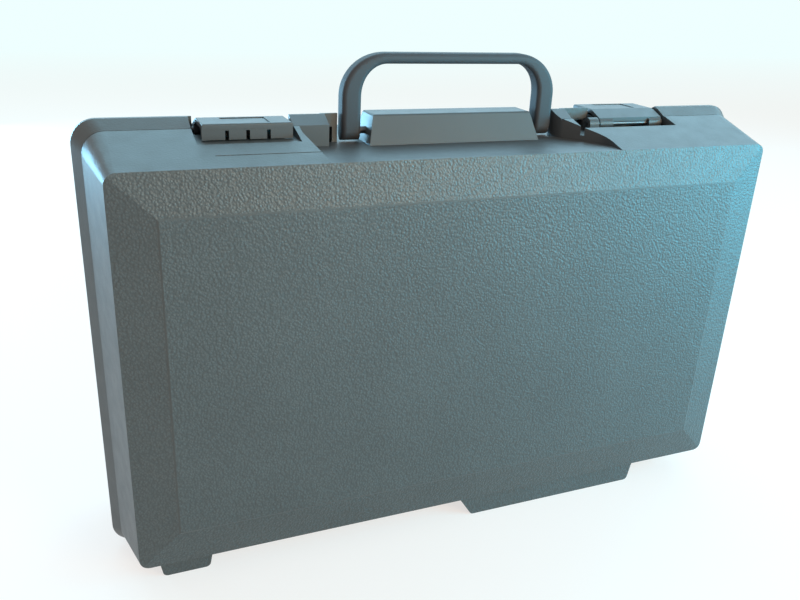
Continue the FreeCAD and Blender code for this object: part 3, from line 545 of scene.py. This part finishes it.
class CASE_OT_shells(bpy.types.Operator):
    """Make the two moulded halves with softened edges and pebbled grain"""

    bl_idname = "case.shells"
    bl_label = "Moulded halves"

    def execute(self, context):
        moulded_half("front_shell", "root", "front_moulding")
        moulded_half("back_shell", "lid", "back_moulding")
        return {"FINISHED"}


class CASE_OT_latches(bpy.types.Operator):
    """Make the two snap latches with softened edges"""

    bl_idname = "case.latches"
    bl_label = "Latches"

    def execute(self, context):
        for node in ("latch_left", "latch_right"):
            piece = merged_copy(node, node + "_moulding")
            soften(piece, context.scene.case_edges.latch_edge_width, LARGE_LATCH_FLAT)
            piece.data.materials.append(material_for("satin_plastic"))
            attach(piece, node)
            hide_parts(node)
        return {"FINISHED"}


# Handle: a section swept along the bail's middle line

# Faces along one bend, round one corner of the section, and down the half round at a pivot
BEND_STEPS = 20
CORNER_STEPS = 5
EYE_STEPS = 8
# Points of the sweep closer than this are one point
SEAM = 0.01 * MM


def kept_along(wiring, geometry, value):
    """The geometry with a vector kept on its points, and the kept vector."""
    node = wiring.add("GeometryNodeCaptureAttribute")
    node.capture_items.new("VECTOR", "kept")
    wiring.feed(node, {"Geometry": geometry, 1: value})
    return node.outputs["Geometry"], node.outputs[1]


def filleted(wiring, curve, radius, count):
    """A curve whose corners are bent to a radius by a count of points."""
    inputs = {"Curve": curve, "Radius": radius, "Count": count}
    return wiring.add("GeometryNodeFilletCurve", inputs, mode="POLY").outputs["Curve"]


def bail_tree(sizes):
    """Sweeps a rounded section along a path of edges in the XZ plane.

    The section is as thick as the bar where the path lies along X and as wide as a leg where it
    stands. Below the pivot its depth follows a half round.
    """
    tree = bpy.data.node_groups.new("bail_sweep", "GeometryNodeTree")
    tree.is_modifier = True
    sockets = tree.interface
    sockets.new_socket(name="Geometry", in_out="OUTPUT", socket_type="NodeSocketGeometry")
    sockets.new_socket(name="Geometry", in_out="INPUT", socket_type="NodeSocketGeometry")
    for name, value in sizes.items():
        size = sockets.new_socket(name=name, in_out="INPUT", socket_type="NodeSocketFloat")
        size.default_value = value
    sockets.new_socket(name="Finish", in_out="INPUT", socket_type="NodeSocketMaterial")
    wiring = Wiring(tree)
    maths, vectors = wiring.maths, wiring.vectors
    given = wiring.add("NodeGroupInput").outputs
    leg_width, bar_thickness, depth = given["Leg Width"], given["Bar Thickness"], given["Depth"]

    path = wiring.add("GeometryNodeMeshToCurve", {"Mesh": given["Geometry"]}).outputs["Curve"]
    bent = filleted(wiring, path, given["Bend"], BEND_STEPS)
    here = wiring.add("GeometryNodeInputPosition").outputs["Position"]
    ahead = wiring.add("GeometryNodeInputTangent").outputs["Tangent"]
    bent, middle = kept_along(wiring, bent, here)
    bent, tangent = kept_along(wiring, bent, ahead)
    section = wiring.add("GeometryNodeCurvePrimitiveQuadrilateral",
                         {"Width": bar_thickness, "Height": depth}).outputs["Curve"]
    section = filleted(wiring, section, given["Rounding"], CORNER_STEPS)
    swept = wiring.add("GeometryNodeCurveToMesh", {
        "Curve": bent, "Profile Curve": section, "Fill Caps": True}).outputs["Mesh"]

    # Both sides move out from the middle line by the same amount, which keeps the corners round.
    direction = wiring.apart(tangent)
    outward = wiring.together(X=direction["Z"], Z=maths("MULTIPLY", direction["X"], -1.0))
    side = maths("SIGN", vectors("DOT_PRODUCT", vectors("SUBTRACT", here, middle), outward))
    extra = maths("MULTIPLY", maths("SUBTRACT", leg_width, bar_thickness), 0.5)
    upright = maths("MULTIPLY", direction["Z"], direction["Z"])
    shift = maths("MULTIPLY", maths("MULTIPLY", extra, upright), side)
    aside = vectors("SCALE", outward, Scale=shift)
    widened = wiring.add("GeometryNodeSetPosition", {"Geometry": swept, "Offset": aside})

    # Below the pivot the depth shrinks as a half round.
    spot = wiring.apart(here)
    fallen = maths("MAXIMUM", maths("SUBTRACT", given["Pivot Height"], spot["Z"]), 0.0)
    share = maths("DIVIDE", fallen, maths("MULTIPLY", depth, 0.5))
    left_over = maths("SUBTRACT", 1.0, maths("MULTIPLY", share, share))
    depth_share = maths("SQRT", maths("MAXIMUM", left_over, 0.0))
    narrowed = maths("MULTIPLY", spot["Y"], depth_share)
    rounded = wiring.add("GeometryNodeSetPosition", {
        "Geometry": widened.outputs["Geometry"],
        "Position": wiring.together(X=spot["X"], Y=narrowed, Z=spot["Z"])})

    closed = wiring.add("GeometryNodeMergeByDistance", {
        "Geometry": rounded.outputs["Geometry"], "Distance": SEAM})
    real = wiring.add("GeometryNodeRealizeInstances", {"Geometry": closed.outputs["Geometry"]})
    finished = wiring.add("GeometryNodeSetMaterial", {
        "Geometry": real.outputs["Geometry"], "Material": given["Finish"]})
    wiring.add("NodeGroupOutput", {"Geometry": finished.outputs["Geometry"]})
    return tree


def set_input(modifier, name, value):
    """Sets a modifier's input through its socket's identifier."""
    for item in modifier.node_group.interface.items_tree:
        if item.item_type == "SOCKET" and item.in_out == "INPUT" and item.name == name:
            modifier[item.identifier] = value
            return
    raise KeyError(name)


def bail_path(leg_middle, bar_middle, pivot, depth):
    """The bail's middle line: up one leg from the half round at its pivot, across and down."""
    turns = [math.pi / 2 * step / EYE_STEPS for step in range(EYE_STEPS, -1, -1)]
    up = [(-leg_middle, 0, pivot - depth / 2 * math.sin(turn)) for turn in turns]
    up.append((-leg_middle, 0, bar_middle))
    points = up + [(-x, y, z) for x, y, z in reversed(up)]
    mesh = bpy.data.meshes.new("handle_path")
    mesh.from_pydata(points, [(i, i + 1) for i in range(len(points) - 1)], [])
    return mesh


class CASE_OT_handle(bpy.types.Operator):
    """Sweep the carrying handle along its path"""

    bl_idname = "case.handle"
    bl_label = "Carrying handle"

    def execute(self, context):
        shape = context.scene.case_handle
        low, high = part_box("handle")
        depth = high.y - low.y
        pivot = low.z + depth / 2
        leg_middle = high.x - shape.leg_width / 2
        bar_middle = high.z - shape.bar_thickness / 2
        sizes = {"Leg Width": shape.leg_width, "Bar Thickness": shape.bar_thickness,
                 "Depth": depth, "Bend": shape.bend, "Rounding": shape.rounding,
                 "Pivot Height": pivot}
        piece = new_object("handle_bail", bail_path(leg_middle, bar_middle, pivot, depth))
        sweep = piece.modifiers.new("sweep", "NODES")
        sweep.node_group = bail_tree(sizes)
        for name, value in sizes.items():
            set_input(sweep, name, value)
        set_input(sweep, "Finish", material_for("handle_plastic"))
        settle(piece)
        shade(piece, HANDLE_CREASE)
        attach(piece, "handle")
        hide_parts("handle")
        return {"FINISHED"}


class CASE_OT_steel(bpy.types.Operator):
    """Give the hinge rods and the pins their steel"""

    bl_idname = "case.steel"
    bl_label = "Rods and pins"

    def execute(self, context):
        for name, node in NODES.items():
            if "rod" in name or "pin" in name:
                node.data.materials.clear()
                node.data.materials.append(material_for("drawn_steel"))
        return {"FINISHED"}


# Floor, light and camera

# Half the floor's width
FLOOR_REACH = 40.0
FLOOR_ROUGHNESS = 0.6
# Between these distances behind the case the floor goes from its near to its far colour
NEAR_UNTIL = 0.2
FAR_FROM = 3.0
# The camera sees nothing closer than this
NEAREST_SEEN = 0.01


class SoftLight(NamedTuple):
    """A flat lamp: its place, what it points at, its size in metres, its watts and its colour."""

    name: str
    place: tuple
    aim: tuple
    size: tuple
    power: float
    colour: tuple


MIDDLE = (CAD_BOX[0] + CAD_BOX[1]) / 2
LIGHTS = (
    SoftLight("window_right", place=(0.80, -0.50, 0.30), aim=(0.25, 0.0, 0.15),
              size=(0.5, 0.6), power=19, colour=(0.06, 0.66, 0.95)),
    SoftLight("window_above", place=(0.4, 0.9, 1.1), aim=MIDDLE,
              size=(2.6, 1.2), power=34, colour=(0.32, 0.76, 1.0)),
    SoftLight("window_left", place=(-0.75, 1.3, 0.22), aim=(-0.2, 0.0, 0.20),
              size=(0.8, 0.4), power=26, colour=(0.30, 0.70, 1.0)),
    SoftLight("room_front", place=(0.75, -1.5, 0.62), aim=MIDDLE,
              size=(0.7, 0.35), power=20, colour=(1.0, 0.82, 0.58)),
)


def seen_directly(wiring):
    """One on rays from the camera, in mirrors and through glass, and none on light rays."""
    rays = wiring.add("ShaderNodeLightPath").outputs
    seen = wiring.maths("MAXIMUM", rays["Is Camera Ray"], rays["Is Glossy Ray"])
    return wiring.maths("MAXIMUM", seen, rays["Is Transmission Ray"])


def floor_paint(studio):
    """Pale paint that shows as plain white, the more so the farther it lies behind the case."""
    material, wiring, shader = new_material("floor_paint")
    wiring.feed(shader, {"Base Color": studio.floor_colour, "Roughness": FLOOR_ROUGHNESS})
    place = wiring.add("ShaderNodeTexCoord").outputs["Object"]
    far = span(wiring, wiring.apart(place)["Y"], NEAR_UNTIL, FAR_FROM)
    tint = ramp(wiring, far, (0.0, studio.near_colour), (1.0, studio.far_colour))
    white = wiring.add("ShaderNodeEmission", {"Color": tint})
    glow = wiring.maths("MULTIPLY_ADD", far, 1.0 - studio.floor_glow, studio.floor_glow)
    mixed = wiring.add("ShaderNodeMixShader", {
        "Fac": wiring.maths("MULTIPLY", seen_directly(wiring), glow),
        1: shader.outputs["BSDF"], 2: white.outputs["Emission"]})
    wiring.feed(material.node_tree.nodes["Material Output"], {"Surface": mixed.outputs["Shader"]})
    return material


def plain_floor(studio):
    """A wide flat floor that the case stands on."""
    near, far = -FLOOR_REACH, FLOOR_REACH
    corners = [(near, near, 0), (far, near, 0), (far, far, 0), (near, far, 0)]
    mesh = bpy.data.meshes.new("floor")
    mesh.from_pydata(corners, [], [range(len(corners))])
    mesh.materials.append(floor_paint(studio))
    floor = new_object("floor", mesh)


def surroundings(studio):
    """A pale sky: plain and bright where it is seen, dimmer as a light."""
    world = bpy.data.worlds.new("pale_sky")
    world.use_nodes = True
    bpy.context.scene.world = world
    wiring = Wiring(world.node_tree)
    light = studio.sky_strength
    wiring.feed(world.node_tree.nodes["Background"], {
        "Color": studio.sky_colour,
        "Strength": wiring.maths("MULTIPLY_ADD", seen_directly(wiring), 1.0 - light, light)})


def hang(light):
    """Hangs a soft light at its place and turns it to its aim."""
    lamp = bpy.data.lights.new(light.name, "AREA")
    lamp.shape = "RECTANGLE"
    lamp.size, lamp.size_y = light.size
    lamp.energy = light.power
    lamp.color = light.colour
    holder = new_object(light.name, lamp)
    holder.location = light.place
    holder.rotation_mode = "QUATERNION"
    towards = Vector(light.aim) - Vector(light.place)
    holder.rotation_quaternion = towards.to_track_quat("-Z", "Y")


def camera_turn(yaw, pitch, roll):
    """The camera's turn: right by yaw, down by pitch, and leaning by roll about its own view."""
    return (Matrix.Rotation(-yaw, 4, "Z") @ Matrix.Rotation(math.pi / 2 - pitch, 4, "X")
            @ Matrix.Rotation(roll, 4, "Z"))


def set_up_camera(studio):
    """The camera as it stood when the photograph was taken."""
    camera = new_object("camera", bpy.data.cameras.new("camera"))
    camera.data.lens = studio.lens
    camera.data.clip_start = NEAREST_SEEN
    turn = camera_turn(studio.yaw, studio.pitch, studio.roll)
    camera.matrix_world = Matrix.Translation(studio.eye) @ turn
    bpy.context.scene.camera = camera


class CASE_OT_stage(bpy.types.Operator):
    """Lay the pale floor, hang the soft lights and set up the camera"""

    bl_idname = "case.stage"
    bl_label = "Floor, light and camera"

    def execute(self, context):
        studio = context.scene.case_studio
        context.scene.view_settings.view_transform = "Standard"
        plain_floor(studio)
        surroundings(studio)
        for light in LIGHTS:
            hang(light)
        set_up_camera(studio)
        return {"FINISHED"}


class CASE_PT_panel(bpy.types.Panel):
    """Sizes, colours and the operators that make the case"""

    bl_label = "Tool case"
    bl_space_type = "VIEW_3D"
    bl_region_type = "UI"
    bl_category = "Tool case"

    def draw(self, context):
        for settings in SETTINGS:
            group = getattr(context.scene, settings)
            box = self.layout.box()
            for name in group.__annotations__:
                box.prop(group, name)
        for operator in MAKING:
            self.layout.operator(operator.bl_idname)


SETTINGS = {"case_finish": CaseFinish, "case_edges": CaseEdges, "case_handle": CaseHandle,
            "case_studio": CaseStudio}
MAKING = (CASE_OT_stage, CASE_OT_shells, CASE_OT_latches, CASE_OT_handle, CASE_OT_steel)
CLASSES = (*SETTINGS.values(), *MAKING, CASE_PT_panel)


def register():
    for each in CLASSES:
        bpy.utils.register_class(each)
    for name, group in SETTINGS.items():
        setattr(bpy.types.Scene, name, PointerProperty(type=group))


def unregister():
    for name in SETTINGS:
        delattr(bpy.types.Scene, name)
    for each in reversed(CLASSES):
        bpy.utils.unregister_class(each)


def main():
    register()
    bpy.ops.case.stage()
    bpy.ops.case.shells()
    bpy.ops.case.latches()
    bpy.ops.case.handle()
    bpy.ops.case.steel()


if __name__ == "__main__":
    main()
